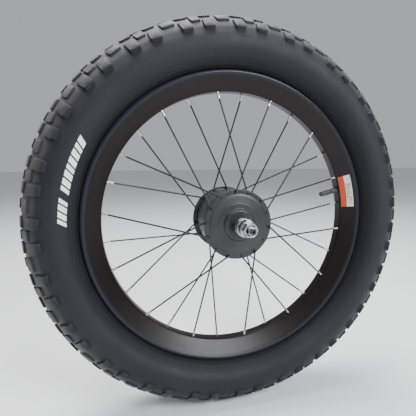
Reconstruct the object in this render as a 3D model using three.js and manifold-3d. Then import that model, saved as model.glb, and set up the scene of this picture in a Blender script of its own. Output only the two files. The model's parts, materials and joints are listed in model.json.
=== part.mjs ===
// A spoked 20 x 4.0 fat-tyre wheel with a geared electric motor in its hub.
// Millimetres. The wheel stands upright: its axle runs along Y, +Z is up, the origin is its centre.
import * as THREE from 'three';
import { mergeVertices } from 'three/addons/utils/BufferGeometryUtils.js';
import Module from 'manifold-3d';

const wasm = await Module();
wasm.setup();

const GAP = 0.3; // clearance between pieces that touch on the real wheel

// Rim and tyre
const CROWN_R = 184.5; // hub side of the rim, at its middle
const CROWN_HALF = 7.5; // half-width of the rim's flat crown
const LIP_R = 211.6;
const RIM_HALF = 23.8;
const RIM_WALL = 2.5;
const BEAD_R = 205.4; // where the tyre sits in the rim
const TYRE_R = 282.4; // over the tread
const TYRE_HALF = 45;
const TYRE_SEGMENTS = 48;
const TUBE_R = 238.7; // centre of the inner tube's section
const TUBE_SEMI = { radial: 28, axial: 30 };
const TUBE_WALL = 1.4;
const TAPE_R = 193;
const TAPE_HALF = 7.6;
const LABEL = { innerR: 186.6, innerY: 9.15, outerR: 201.2, outerY: 19.3, from: 5.6, to: 19.4 };

// Facets round a full turn
const RING_SEGMENTS = 56; // two facets of the rim to each spoke hole
const SHELL_SEGMENTS = 28; // one facet of the shell to each spoke hole
const INNER_SEGMENTS = 28; // large pieces that no spoke meets
const SMALL_SEGMENTS = 18;

// Valve, in radii about its own axis and distances from the axle
const VALVE = { stemR: 4.2, holeR: 4.6, threadR: 2.6, start: 163, shoulder: 173, end: 215 };
const CAP = { radius: 4.3, bore: 2.9, start: 154.5, inside: 162.7, end: 171 };

// Tread: rows of coarse blocks on both shoulders, and a band of the same height round the middle
const KNOBS = 23; // blocks on each shoulder, each one standing for a pair
const KNOB = { along: 42, across: 19, high: 9, r: 260.9, y: 32.6, tilt: 44, start: 8.1 };

// Spokes
const SPOKES_PER_SIDE = 14;
const VALVE_ANGLE = 13; // degrees from +X towards +Z
const SPOKE_RADIUS = 1.1;
const NIPPLE = { radius: 1.8, length: 13, headRadius: 2.8, headLength: 2.2, seatR: 188.3, y: 4 };
const ELBOW_STAND_OFF = 2.7; // from the flange's face to the middle of the wire

// Hub shell
const FLANGE_Y = 36;
const FLANGE_HALF_THICKNESS = 1.5;
const FLANGE_IN = FLANGE_Y - FLANGE_HALF_THICKNESS;
const FLANGE_OUT = FLANGE_Y + FLANGE_HALF_THICKNESS;
const FLANGE_R = 49.5;
const SPOKE_CIRCLE_R = 46;
const SHELL_R = 44;
const CAVITY_R = 41.2;
const END_FACE_Y = 44;
const END_BORE_R = 10; // the hub's mouth, round the spacer
const COVER_R = 43;
const PIN_HOLES = { count: 6, circleR: 32, radius: 2.5 };

// Axle and what clamps it
const AXLE_R = 7;
const THREAD_R = 6;
const AXLE_SHOULDER_Y = 46;
const AXLE_END_Y = 95;
const FLAT_HALF = 5;
const FLAT_START_Y = 50;
const DROPOUT_FACE_Y = 67.5; // half of the 135 mm between the fork ends
const DROPOUT_SLOT = 6.3;
const WASHER = { radius: 11, thickness: 2.2 };
const NUT = { acrossFlats: 18, height: 10 };
const LEAD_BORE = { radius: 3, depth: 22 };
const GROMMET = { bore: 1.7, radius: 4.4, length: 14, recess: 3 };
const SPACER = { neck: 9.5, radius: 13, coneStart: 52, coneEnd: 55 };

// Motor and gears
const GEAR_MODULE = 1.5;
const SUN_TEETH = 18;
const PLANET_TEETH = 15;
const RING_TEETH = 48;
const PLANET_CIRCLE_R = (GEAR_MODULE * (SUN_TEETH + PLANET_TEETH)) / 2;
const GEAR_Y = 14;
const GEAR_WIDTH = 13;
// Straight-sided teeth: half-widths at root and tip as a share of the tooth pitch
const TOOTH = { root: 0.29, tip: 0.13, deep: 1.2, high: 0.93 };
const PLANET_ANGLES = [0, 120, 240];
const PIN_R = 4;
const BEARING = { outer: 14, width: 7, y: 35.2 };
const STATOR = { slots: 12, hub: 15.5, outer: 29, y: -24, length: 22 };
const MAGNET = { inner: 29.6, outer: 32.6 };
const CAN = { inner: 32.9, outer: 36.5, y: -27, plateY: 6, plateEnd: 10, bore: 12.6 };
const CARRIER = { y: 28, thickness: 3.5, radius: 31, clutchR: 12 };

const degrees = THREE.MathUtils.degToRad;
const UP_AXLE = new THREE.Vector3(0, 1, 0);

// ---- solids -------------------------------------------------------------------------------

function toSolid(geometry) {
  const bare = geometry.clone();
  bare.deleteAttribute('normal');
  bare.deleteAttribute('uv');
  const merged = mergeVertices(bare, 1e-3);
  const vertProperties = new Float32Array(merged.attributes.position.array);
  const triVerts = new Uint32Array(merged.index.array);
  return new wasm.Manifold(new wasm.Mesh({ numProp: 3, vertProperties, triVerts }));
}

function toGeometry(solid) {
  const mesh = solid.getMesh();
  const geometry = new THREE.BufferGeometry();
  geometry.setAttribute('position', new THREE.BufferAttribute(mesh.vertProperties, 3));
  geometry.setIndex(new THREE.BufferAttribute(mesh.triVerts, 1));
  geometry.computeVertexNormals();
  return geometry;
}

function combine(operation, first, others) {
  let solid = toSolid(first);
  for (const other of others) {
    solid = solid[operation](toSolid(other));
  }
  return toGeometry(solid);
}

const join = (first, ...others) => combine('add', first, others);
const cut = (first, ...others) => combine('subtract', first, others);
const overlap = (first, ...others) => combine('intersect', first, others);

// A closed [radius, y] outline turned about the axle, wound so that its faces point outwards.
function turned(outline, segments = 32) {
  const area = THREE.ShapeUtils.area(outline.map(([r, y]) => new THREE.Vector2(r, y)));
  const ordered = area < 0 ? [...outline].reverse() : outline;
  const points = [...ordered, ordered[0]].map(([r, y]) => new THREE.Vector2(r, y));
  return new THREE.LatheGeometry(points, segments);
}

// The half outline from y = 0 outwards, completed by its mirror image in y = 0.
function mirrored(half) {
  const other = half.filter(([, y]) => y > 0).map(([r, y]) => [r, -y]);
  return [...half, ...other.reverse()];
}

// Turns a ring about the axle so that every spoke hole, and the valve, meets the middle of a facet.
function facetsAtSpokes(geometry, segments) {
  const facet = 360 / segments;
  const offset = segments > 2 * SPOKES_PER_SIDE ? facet / 2 : 0;
  return geometry.rotateY(-degrees(VALVE_ANGLE - 90 + offset));
}

// A plain ring, or a tube, between two radii and two heights.
function ring(inner, outer, y0, y1, segments) {
  return turned([[inner, y0], [outer, y0], [outer, y1], [inner, y1]], segments);
}

// A flat outline in (x, -z), pushed along the axle from y0.
function extruded(shape, y0, length) {
  const settings = { depth: length, bevelEnabled: false, curveSegments: 8 };
  const geometry = new THREE.ExtrudeGeometry(shape, settings);
  geometry.rotateX(-Math.PI / 2);
  geometry.translate(0, y0, 0);
  return geometry;
}

// The turn that takes the axle's direction to another one.
function turnTo(direction) {
  return new THREE.Quaternion().setFromUnitVectors(UP_AXLE, direction);
}

// A straight bar of a given radius from one point to another.
function bar(from, to, radius, sides = 6) {
  const along = to.clone().sub(from);
  const geometry = new THREE.CylinderGeometry(radius, radius, along.length(), sides);
  geometry.applyQuaternion(turnTo(along.clone().normalize()));
  const middle = from.clone().add(to).multiplyScalar(0.5);
  geometry.translate(middle.x, middle.y, middle.z);
  return geometry;
}

// The point at a radius, an angle from +X towards +Z, and a height along the axle.
function polar(radius, angle, y = 0) {
  return new THREE.Vector3(radius * Math.cos(degrees(angle)), y, radius * Math.sin(degrees(angle)));
}

// ---- tyre and rim ------------------------------------------------------------------------

// The bar that cuts the valve's hole, between two distances from the axle.
function valveHole(from, to, sides) {
  return bar(polar(from, VALVE_ANGLE), polar(to, VALVE_ANGLE), VALVE.holeR, sides);
}

function rimGeometry() {
  const outline = mirrored([
    [CROWN_R, CROWN_HALF], [202, RIM_HALF - 4.4], [203.6, RIM_HALF - 1], [206.2, RIM_HALF],
    [209.8, RIM_HALF - 1], [LIP_R, RIM_HALF - 2.9], [210.8, RIM_HALF - 4.6],
    [204.2, RIM_HALF - 6.3], [203.4, 11.5], [190.5, 7.6], [CROWN_R + RIM_WALL, 5.6],
  ]);
  const holes = spokeLines().map(({ inner, seat }) => bar(inner, seat, NIPPLE.radius + 2 * GAP, 5));
  const hoop = facetsAtSpokes(turned(outline, RING_SEGMENTS), RING_SEGMENTS);
  return cut(hoop, ...holes, valveHole(CROWN_R - 10, CROWN_R + 8, 12));
}

function tyreGeometry() {
  const outer = [
    [BEAD_R, 17.1], [211.4, 18.6], [217, 29.6], [227, 41], [240, TYRE_HALF],
    [249.5, TYRE_HALF - 2.2], [261.5, 35], [271.5, 27.5], [279.2, 15], [TYRE_R, 5],
  ];
  const inner = [
    [272, 12], [265, 27], [254.5, 36.3], [241, 40.3], [225, 33], [213, 17], [BEAD_R, 12.2],
  ];
  const left = [...outer].reverse().concat([...inner].reverse()).map(([r, y]) => [r, -y]);
  const casing = turned([...inner, ...outer, ...left], TYRE_SEGMENTS);
  return join(casing, ...shoulderKnobs());
}

// Blocks that stand out from both shoulders of the casing, leaning towards the sides.
function shoulderKnobs() {
  const knobs = [];
  for (let i = 0; i < 2 * KNOBS; i += 1) {
    const side = i % 2 === 0 ? -1 : 1;
    const block = new THREE.BoxGeometry(KNOB.high, KNOB.across, KNOB.along);
    block.rotateZ(side * degrees(KNOB.tilt));
    block.translate(KNOB.r, side * KNOB.y, 0);
    block.rotateY((i * Math.PI) / KNOBS - degrees(KNOB.start));
    knobs.push(block);
  }
  return knobs;
}

// An ellipse about the middle of the inner tube's section.
function ellipse(radial, axial, points) {
  return Array.from({ length: points }, (unused, i) => {
    const turn = (2 * Math.PI * i) / points;
    return [TUBE_R + radial * Math.cos(turn), axial * Math.sin(turn)];
  });
}

function innerTubeGeometry() {
  const { radial, axial } = TUBE_SEMI;
  const skin = turned(ellipse(radial, axial, 8), INNER_SEGMENTS);
  const air = turned(ellipse(radial - TUBE_WALL, axial - TUBE_WALL, 8), INNER_SEGMENTS);
  return cut(skin, air, valveHole(200, 225, 8));
}

function rimTapeGeometry() {
  const tape = ring(TAPE_R, TAPE_R + 1, -TAPE_HALF, TAPE_HALF, INNER_SEGMENTS);
  return cut(tape, valveHole(185, 200, 8));
}

// A label that lies on the near wall of the rim, beside the valve.
function stickerGeometry() {
  const { innerR, innerY, outerR, outerY, from, to } = LABEL;
  const [low, high] = [0.35, 0.7]; // its two faces, measured along the axle from the rim's wall
  const skin = turned([
    [innerR, -innerY - low], [outerR, -outerY - low], [outerR, -outerY - high], [innerR, -innerY - high],
  ], RING_SEGMENTS);
  const wedge = new THREE.Shape();
  for (const [radius, angle] of [[170, from], [230, from], [230, to], [170, to]]) {
    const corner = polar(radius, angle);
    wedge.lineTo(corner.x, -corner.z);
  }
  wedge.curves.shift();
  return overlap(skin, extruded(wedge, -60, 60));
}

// ---- valve -------------------------------------------------------------------------------

// A solid turned about the valve's own axis: its outline is in [radius, distance from the axle].
function radialTurned(outline, segments) {
  const geometry = new THREE.LatheGeometry(outline.map(([r, d]) => new THREE.Vector2(r, d)), segments);
  geometry.rotateZ(-Math.PI / 2);
  geometry.rotateY(-degrees(VALVE_ANGLE));
  return geometry;
}

function valveStemGeometry() {
  const { stemR, threadR, start, shoulder, end } = VALVE;
  return radialTurned([
    [0, start], [threadR, start], [threadR, shoulder - 1.5], [stemR, shoulder], [stemR, end], [0, end],
  ], 10);
}

function valveCapGeometry() {
  const { radius, bore, start, inside, end } = CAP;
  return radialTurned([
    [0, start], [radius - 1.1, start], [radius, start + 3.5], [radius, end], [bore, end],
    [bore, inside], [0, inside],
  ], 10);
}

// ---- spokes ------------------------------------------------------------------------------

// Where each spoke runs: each side's spokes lean forwards and backwards in turn, and each crosses
// one other. The elbows stand alternately outside and inside the flange.
function spokeLines() {
  const step = 360 / SPOKES_PER_SIDE;
  const lines = [];
  for (let i = 0; i < 2 * SPOKES_PER_SIDE; i += 1) {
    const side = i % 2 === 0 ? -1 : 1;
    const forwards = Math.floor(i / 2) % 2 === 0 ? 1 : -1;
    const rimAngle = VALVE_ANGLE + (i + 0.5) * (step / 2);
    const hubAngle = rimAngle + forwards * step;
    const offset = forwards * (FLANGE_HALF_THICKNESS + ELBOW_STAND_OFF);
    const hub = polar(SPOKE_CIRCLE_R, hubAngle, side * (FLANGE_Y + offset));
    const seat = polar(NIPPLE.seatR, rimAngle, side * NIPPLE.y);
    const direction = seat.clone().sub(hub).normalize();
    const inner = seat.clone().addScaledVector(direction, -NIPPLE.length);
    const head = polar(SPOKE_CIRCLE_R, hubAngle, side * (FLANGE_Y - offset));
    lines.push({ hub, seat, inner, head, direction, side });
  }
  return lines;
}

// A stepped round bar: a start point, a direction, and its outline in [radius, distance along it].
function steppedBar(from, direction, outline, sides) {
  const closed = [[0, outline[0][1]], ...outline, [0, outline.at(-1)[1]]];
  const geometry = new THREE.LatheGeometry(closed.map(([r, d]) => new THREE.Vector2(r, d)), sides);
  geometry.applyQuaternion(turnTo(direction));
  return geometry.translate(from.x, from.y, from.z);
}

// One spoke: the elbow through the flange, the straight wire, and the nipple on its end.
function spokeGeometry({ hub, seat, head, direction }) {
  const length = seat.distanceTo(hub);
  const wire = steppedBar(hub, direction, [
    [SPOKE_RADIUS, 0], [SPOKE_RADIUS, length - NIPPLE.length], [NIPPLE.radius, length - NIPPLE.length],
    [NIPPLE.radius, length], [NIPPLE.headRadius, length], [NIPPLE.headRadius, length + NIPPLE.headLength],
  ], 5);
  return join(wire, bar(hub, head, SPOKE_RADIUS, 5));
}

// ---- hub shell ---------------------------------------------------------------------------

function flangeOutline(sign) {
  return [
    [SHELL_R, sign * (FLANGE_IN - 1.5)], [SHELL_R + 1, sign * FLANGE_IN], [FLANGE_R - 1, sign * FLANGE_IN],
    [FLANGE_R, sign * (FLANGE_IN + 1)], [FLANGE_R, sign * (FLANGE_OUT - 1)],
    [FLANGE_R - 1, sign * FLANGE_OUT],
  ];
}

function spokeHoles() {
  return spokeLines().map(({ hub, head }) => {
    const middle = hub.clone().add(head).multiplyScalar(0.5);
    const from = middle.clone().setY(middle.y - 4);
    const to = middle.clone().setY(middle.y + 4);
    return bar(from, to, SPOKE_RADIUS + 1.5 * GAP, 5);
  });
}

function hubShellGeometry() {
  const outline = [
    [BEARING.outer + GAP, -FLANGE_IN - 0.7], [BEARING.outer + GAP, -END_FACE_Y + 1.5],
    [END_BORE_R, -END_FACE_Y + 1.5], [END_BORE_R, -END_FACE_Y], [20.5, -END_FACE_Y],
    [22, -END_FACE_Y + 1.5], [22.5, -FLANGE_OUT - 3], [COVER_R - 1.5, -FLANGE_OUT - 1],
    [COVER_R, -FLANGE_OUT],
    ...flangeOutline(-1).reverse(), ...flangeOutline(1),
    [CAVITY_R, FLANGE_OUT], [CAVITY_R, -FLANGE_IN - 0.7],
  ];
  return cut(facetsAtSpokes(turned(outline, SHELL_SEGMENTS), SHELL_SEGMENTS), ...spokeHoles());
}

// The cover screws into the open end of the shell; its blind holes take a pin spanner.
function sideCoverGeometry() {
  const inside = FLANGE_IN - 0.3;
  const outline = [
    [BEARING.outer + GAP, inside], [CAVITY_R - GAP, inside], [CAVITY_R - GAP, FLANGE_OUT + GAP],
    [COVER_R, FLANGE_OUT + GAP], [COVER_R, FLANGE_OUT + 1.6], [COVER_R - 1.5, FLANGE_OUT + 2.4],
    [22.5, FLANGE_OUT + 3.4], [22, END_FACE_Y - 1.5], [20.5, END_FACE_Y],
    [END_BORE_R, END_FACE_Y], [END_BORE_R, END_FACE_Y - 1.5], [BEARING.outer + GAP, END_FACE_Y - 1.5],
  ];
  const holes = [];
  for (let i = 0; i < PIN_HOLES.count; i += 1) {
    const at = polar(PIN_HOLES.circleR, (360 / PIN_HOLES.count) * (i + 0.5));
    holes.push(bar(at.clone().setY(FLANGE_OUT), at.clone().setY(END_FACE_Y), PIN_HOLES.radius, 8));
  }
  return cut(turned(outline, SHELL_SEGMENTS), ...holes);
}

function bearingGeometry(side) {
  const outer = BEARING.outer;
  const inner = AXLE_R + GAP;
  const [low, high] = [BEARING.y, BEARING.y + BEARING.width];
  const outline = [
    [inner, low], [inner + 2, low], [inner + 2.4, low + 0.5], [outer - 2, low], [outer, low],
    [outer, high], [inner, high],
  ];
  return turned(outline.map(([r, y]) => [r, side * y]), SMALL_SEGMENTS);
}

// ---- axle --------------------------------------------------------------------------------

function axleGeometry() {
  const leftEnd = -AXLE_END_Y + GROMMET.recess;
  const outline = [
    [0, leftEnd], [THREAD_R - 1, leftEnd], [THREAD_R, leftEnd + 1], [THREAD_R, -AXLE_SHOULDER_Y],
    [AXLE_R, -AXLE_SHOULDER_Y], [AXLE_R, AXLE_SHOULDER_Y], [THREAD_R, AXLE_SHOULDER_Y],
    [THREAD_R, AXLE_END_Y - 1], [THREAD_R - 1, AXLE_END_Y], [0, AXLE_END_Y],
  ];
  const body = new THREE.LatheGeometry(outline.map(([r, y]) => new THREE.Vector2(r, y)), SMALL_SEGMENTS);
  const length = AXLE_END_Y - FLAT_START_Y + 5;
  const flats = [];
  for (const end of [-1, 1]) {
    for (const side of [-1, 1]) {
      const block = new THREE.BoxGeometry(4, length, 20);
      block.translate(side * (FLAT_HALF + 2), end * (FLAT_START_Y + length / 2), 0);
      flats.push(block);
    }
  }
  const at = (offset) => new THREE.Vector3(0, leftEnd + offset, 0);
  return cut(body, ...flats, bar(at(-5), at(LEAD_BORE.depth), LEAD_BORE.radius, 10));
}

// The rubber grommet that the motor's lead would leave the axle through.
function leadGrommetGeometry() {
  const { bore, radius, length, recess } = GROMMET;
  const end = -AXLE_END_Y;
  const face = end + recess - GAP;
  const sleeve = LEAD_BORE.radius - GAP;
  return turned([
    [bore, end], [radius - 0.8, end], [radius, end + 0.8], [radius, face], [sleeve, face],
    [sleeve, end + length], [bore, end + length],
  ], 10);
}

function spacerGeometry(side) {
  const { neck, radius, coneStart, coneEnd } = SPACER;
  const outline = [
    [THREAD_R + GAP, AXLE_SHOULDER_Y + GAP], [neck - 0.5, AXLE_SHOULDER_Y + GAP],
    [neck, AXLE_SHOULDER_Y + 1], [neck, coneStart], [radius, coneEnd], [radius, DROPOUT_FACE_Y - 1],
    [radius - 1, DROPOUT_FACE_Y], [THREAD_R + GAP, DROPOUT_FACE_Y],
  ];
  return turned(outline.map(([r, y]) => [r, side * y]), SMALL_SEGMENTS);
}

// A hole that follows the axle's thread and its two flats.
function flatSidedHole(clearance) {
  const hole = new THREE.Path();
  const half = FLAT_HALF + clearance;
  const rise = Math.sqrt((THREAD_R + clearance) ** 2 - half ** 2);
  const corner = Math.atan2(rise, half);
  hole.moveTo(half, rise);
  hole.absarc(0, 0, THREAD_R + clearance, corner, Math.PI - corner, false);
  hole.absarc(0, 0, THREAD_R + clearance, Math.PI + corner, 2 * Math.PI - corner, false);
  hole.closePath();
  return hole;
}

// The washer's bore has the axle's flats, and its tab stops the axle from turning in the fork end.
function tabWasherGeometry(side) {
  const washer = new THREE.Shape();
  washer.absarc(0, 0, WASHER.radius, 0, 2 * Math.PI, false);
  washer.holes.push(flatSidedHole(GAP));
  const start = DROPOUT_FACE_Y + DROPOUT_SLOT;
  const plate = extruded(washer, side > 0 ? start : -start - WASHER.thickness, WASHER.thickness);
  const tab = new THREE.BoxGeometry(5, 6, 4);
  tab.translate(0, side * (start - 1), WASHER.radius - 1);
  return join(plate, tab);
}

function axleNutGeometry(side) {
  const nut = new THREE.Shape();
  const corner = NUT.acrossFlats / 2 / Math.cos(Math.PI / 6);
  for (let i = 0; i < 6; i += 1) {
    const at = polar(corner, 60 * i);
    nut[i === 0 ? 'moveTo' : 'lineTo'](at.x, at.z);
  }
  nut.closePath();
  const hole = new THREE.Path();
  hole.absarc(0, 0, THREAD_R + GAP, 0, 2 * Math.PI, true);
  nut.holes.push(hole);
  const start = DROPOUT_FACE_Y + DROPOUT_SLOT + WASHER.thickness + GAP;
  return extruded(nut, side > 0 ? start : -start - NUT.height, NUT.height);
}

// ---- motor -------------------------------------------------------------------------------

// The stator's laminations: a hub with one T-shaped tooth to each coil, grown by a clearance.
function statorShape(clearance) {
  const shape = new THREE.Shape();
  const outer = STATOR.outer + clearance;
  const shoe = STATOR.outer - 2.4 - clearance;
  const hub = STATOR.hub + clearance;
  const neck = 2.2 + clearance;
  for (let i = 0; i < STATOR.slots; i += 1) {
    const middle = (2 * Math.PI * i) / STATOR.slots;
    const shoeTurn = degrees(12.4) + clearance / outer;
    const points = [
      [hub, -neck / hub], [shoe, -neck / shoe], [shoe, -shoeTurn], [outer, -shoeTurn], [outer, 0],
      [outer, shoeTurn], [shoe, shoeTurn], [shoe, neck / shoe], [hub, neck / hub],
    ];
    for (const [radius, turn] of points) {
      shape.lineTo(radius * Math.cos(middle + turn), radius * Math.sin(middle + turn));
    }
  }
  shape.curves.shift();
  return shape;
}

function statorCoreGeometry() {
  const shape = statorShape(0);
  const bore = new THREE.Path();
  bore.absarc(0, 0, AXLE_R + GAP, 0, 2 * Math.PI, true);
  shape.holes.push(bore);
  return extruded(shape, STATOR.y, STATOR.length);
}

// The copper: coil ends at both faces, joined through every slot.
function statorWindingGeometry() {
  const overhang = 3.5;
  const [low, high] = [STATOR.y - overhang, STATOR.y + STATOR.length + overhang];
  const copper = ring(STATOR.hub + 2 * GAP, STATOR.outer - 3.2, low, high, 2 * STATOR.slots);
  return cut(copper, extruded(statorShape(GAP), STATOR.y - GAP, STATOR.length + 2 * GAP));
}

function rotorCanGeometry() {
  return turned([
    [CAN.inner, CAN.y], [CAN.outer, CAN.y], [CAN.outer, CAN.plateEnd - 1.5], [CAN.outer - 1.5, CAN.plateEnd],
    [CAN.bore, CAN.plateEnd], [CAN.bore, 1.5], [15.5, 1.5], [15.5, CAN.plateY], [CAN.inner, CAN.plateY],
  ], INNER_SEGMENTS);
}

// The magnets sit side by side in one ring, with a groove between each two.
function magnetRingGeometry() {
  const poles = 16;
  const magnets = ring(MAGNET.inner, MAGNET.outer, STATOR.y - 1, STATOR.y + STATOR.length + 1, 2 * poles);
  const grooves = [];
  for (let i = 0; i < poles; i += 1) {
    const at = polar(MAGNET.inner, (360 / poles) * (i + 0.5));
    grooves.push(bar(at.clone().setY(STATOR.y - 5), at.clone().setY(STATOR.y + STATOR.length + 5), 0.6, 4));
  }
  return cut(magnets, ...grooves);
}

// ---- gears -------------------------------------------------------------------------------

// Adds the outline of a toothed wheel to a path: teeth point outwards (1) or inwards (-1).
function toothedPath(path, teeth, outwards) {
  const pitchR = (GEAR_MODULE * teeth) / 2;
  const rootR = pitchR - outwards * TOOTH.deep * GEAR_MODULE;
  const tipR = pitchR + outwards * TOOTH.high * GEAR_MODULE;
  const pitch = (2 * Math.PI) / teeth;
  for (let i = 0; i < teeth; i += 1) {
    const corners = [[rootR, -TOOTH.root], [tipR, -TOOTH.tip], [tipR, TOOTH.tip], [rootR, TOOTH.root]];
    for (const [radius, share] of corners) {
      const turn = (i + share) * pitch;
      path.lineTo(radius * Math.cos(turn), radius * Math.sin(turn));
    }
  }
  path.curves.shift();
  return path;
}

function gearGeometry(teeth, bore) {
  const shape = toothedPath(new THREE.Shape(), teeth, 1);
  const hole = new THREE.Path();
  hole.absarc(0, 0, bore, 0, 2 * Math.PI, true);
  shape.holes.push(hole);
  return extruded(shape, GEAR_Y, GEAR_WIDTH);
}

function sunGearGeometry() {
  const collar = ring(AXLE_R + 2 * GAP, 11.2, CAN.plateEnd + GAP, GEAR_Y + 1, SUN_TEETH);
  return join(gearGeometry(SUN_TEETH, AXLE_R + 2 * GAP), collar);
}

// The ring gear has a space, not a tooth, at angle 0, so that it meets the planets' outer teeth.
function ringGearGeometry() {
  const shape = new THREE.Shape();
  shape.absarc(0, 0, CAVITY_R - GAP, 0, 2 * Math.PI, false);
  shape.holes.push(toothedPath(new THREE.Path(), RING_TEETH, -1));
  const geometry = new THREE.ExtrudeGeometry(shape, {
    depth: GEAR_WIDTH, bevelEnabled: false, curveSegments: 18,
  });
  geometry.rotateZ(Math.PI / RING_TEETH);
  geometry.rotateX(-Math.PI / 2);
  geometry.translate(0, GEAR_Y, 0);
  return geometry;
}

function planetCarrierGeometry() {
  const plate = new THREE.Shape();
  plate.absarc(0, 0, CARRIER.radius, 0, 2 * Math.PI, false);
  const hole = new THREE.Path();
  hole.absarc(0, 0, CARRIER.clutchR + GAP, 0, 2 * Math.PI, true);
  plate.holes.push(hole);
  const pins = PLANET_ANGLES.map((angle) => {
    const at = polar(PLANET_CIRCLE_R, angle);
    return bar(at.clone().setY(GEAR_Y - 0.5), at.clone().setY(CARRIER.y + 1), PIN_R, 12);
  });
  return join(extruded(plate, CARRIER.y, CARRIER.thickness), ...pins);
}

// ---- assembly ----------------------------------------------------------------------------

// Stand-in finishes for a plain viewer; the record's slots name the real ones.
const FINISHES = {
  tyre: { color: 0x232325, roughness: 0.85, metalness: 0 },
  rubber: { color: 0x1b1b1c, roughness: 0.8, metalness: 0 },
  tape: { color: 0x8a2a26, roughness: 0.7, metalness: 0 },
  rim: { color: 0x121212, roughness: 0.32, metalness: 0.6 },
  spoke: { color: 0x17171a, roughness: 0.35, metalness: 0.8 },
  shell: { color: 0x151517, roughness: 0.42, metalness: 0.5 },
  steel: { color: 0xa9adb2, roughness: 0.3, metalness: 1 },
  zinc: { color: 0xc2c6ca, roughness: 0.35, metalness: 1 },
  lamination: { color: 0x5b5d60, roughness: 0.55, metalness: 0.8 },
  copper: { color: 0xb0622f, roughness: 0.4, metalness: 0.9 },
  magnet: { color: 0x74787d, roughness: 0.35, metalness: 0.9 },
  nylon: { color: 0xd9d4c6, roughness: 0.5, metalness: 0 },
  board: { color: 0x1f5a34, roughness: 0.5, metalness: 0 },
  label: { color: 0xe8e2d8, roughness: 0.5, metalness: 0 },
};

const wheel = new THREE.Group();

function place(name, finish, geometry) {
  const mesh = new THREE.Mesh(geometry, new THREE.MeshStandardMaterial(FINISHES[finish]));
  mesh.name = name;
  wheel.add(mesh);
  return mesh;
}

place('tyre', 'tyre', tyreGeometry());
place('inner_tube', 'rubber', innerTubeGeometry());
place('rim_tape', 'tape', rimTapeGeometry());
place('rim', 'rim', rimGeometry());
place('rim_sticker', 'label', stickerGeometry());
place('valve_stem', 'rubber', valveStemGeometry());
place('valve_cap', 'rubber', valveCapGeometry());

spokeLines().forEach((line, i) => {
  const side = line.side < 0 ? 'left' : 'right';
  place(`spoke_${side}_${Math.floor(i / 2) + 1}`, 'spoke', spokeGeometry(line));
});

place('hub_shell', 'shell', hubShellGeometry());
place('side_cover', 'shell', sideCoverGeometry());

place('axle', 'steel', axleGeometry());
place('lead_grommet', 'rubber', leadGrommetGeometry());
for (const [side, sign] of [['left', -1], ['right', 1]]) {
  place(`${side}_bearing`, 'steel', bearingGeometry(sign));
  place(`${side}_spacer`, 'steel', spacerGeometry(sign));
  place(`${side}_tab_washer`, 'zinc', tabWasherGeometry(sign));
  place(`${side}_axle_nut`, 'zinc', axleNutGeometry(sign));
}

place('stator_core', 'lamination', statorCoreGeometry());
place('stator_winding', 'copper', statorWindingGeometry());
place('hall_board', 'board', ring(AXLE_R + GAP, 26, STATOR.y - 5.6, STATOR.y - 4, SMALL_SEGMENTS));
place('rotor_can', 'steel', rotorCanGeometry());
place('magnet_ring', 'magnet', magnetRingGeometry());
place('rotor_bearing', 'steel', ring(AXLE_R + GAP, CAN.bore - GAP, 0.5, CAN.plateEnd - GAP, SMALL_SEGMENTS));

place('sun_gear', 'steel', sunGearGeometry());
PLANET_ANGLES.forEach((angle, i) => {
  const planet = place(`planet_gear_${i + 1}`, 'nylon', gearGeometry(PLANET_TEETH, PIN_R + GAP));
  planet.position.copy(polar(PLANET_CIRCLE_R, angle));
  planet.rotation.y = -degrees(angle);
});
place('planet_carrier', 'steel', planetCarrierGeometry());
place('clutch_race', 'steel', ring(
  AXLE_R + GAP, CARRIER.clutchR, CARRIER.y, CARRIER.y + CARRIER.thickness, SMALL_SEGMENTS,
));
place('ring_gear', 'steel', ringGearGeometry());

export default wheel;
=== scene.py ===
import json
import math
import random

import bmesh
import bpy
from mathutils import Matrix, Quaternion, Vector


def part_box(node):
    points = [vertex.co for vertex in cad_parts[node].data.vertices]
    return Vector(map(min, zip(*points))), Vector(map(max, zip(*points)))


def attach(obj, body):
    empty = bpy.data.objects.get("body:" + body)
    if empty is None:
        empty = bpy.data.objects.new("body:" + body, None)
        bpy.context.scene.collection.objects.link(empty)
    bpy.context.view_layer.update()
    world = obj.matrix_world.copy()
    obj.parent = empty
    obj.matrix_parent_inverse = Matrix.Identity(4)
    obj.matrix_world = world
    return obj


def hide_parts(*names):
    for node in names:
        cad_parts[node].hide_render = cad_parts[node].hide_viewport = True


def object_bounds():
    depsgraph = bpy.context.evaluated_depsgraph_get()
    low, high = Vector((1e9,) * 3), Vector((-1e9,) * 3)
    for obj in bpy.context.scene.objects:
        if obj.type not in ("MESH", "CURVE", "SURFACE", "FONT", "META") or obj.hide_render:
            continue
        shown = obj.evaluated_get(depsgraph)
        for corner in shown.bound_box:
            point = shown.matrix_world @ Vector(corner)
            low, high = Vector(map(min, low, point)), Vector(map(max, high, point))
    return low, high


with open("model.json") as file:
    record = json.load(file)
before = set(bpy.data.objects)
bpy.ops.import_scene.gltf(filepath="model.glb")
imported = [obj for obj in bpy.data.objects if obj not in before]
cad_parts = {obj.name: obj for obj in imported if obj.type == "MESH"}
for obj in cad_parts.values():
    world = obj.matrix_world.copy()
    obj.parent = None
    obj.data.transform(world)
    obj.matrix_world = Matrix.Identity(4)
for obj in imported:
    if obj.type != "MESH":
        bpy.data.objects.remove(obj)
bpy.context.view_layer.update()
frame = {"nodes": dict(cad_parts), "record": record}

MM = 0.001
NEAR = -1  # the side of the wheel that faces the camera is at negative Y
SEED = 20

# Camera: where it looks, from where, and how wide
TARGET = (-21.4, 0.0, 4.2)
AZIMUTH = -15.8
ELEVATION = 8.94
DISTANCE = 520.6
ROLL = 0.33
LENS = 30.29
SHIFT = (-0.0207, 0.0253)

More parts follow.
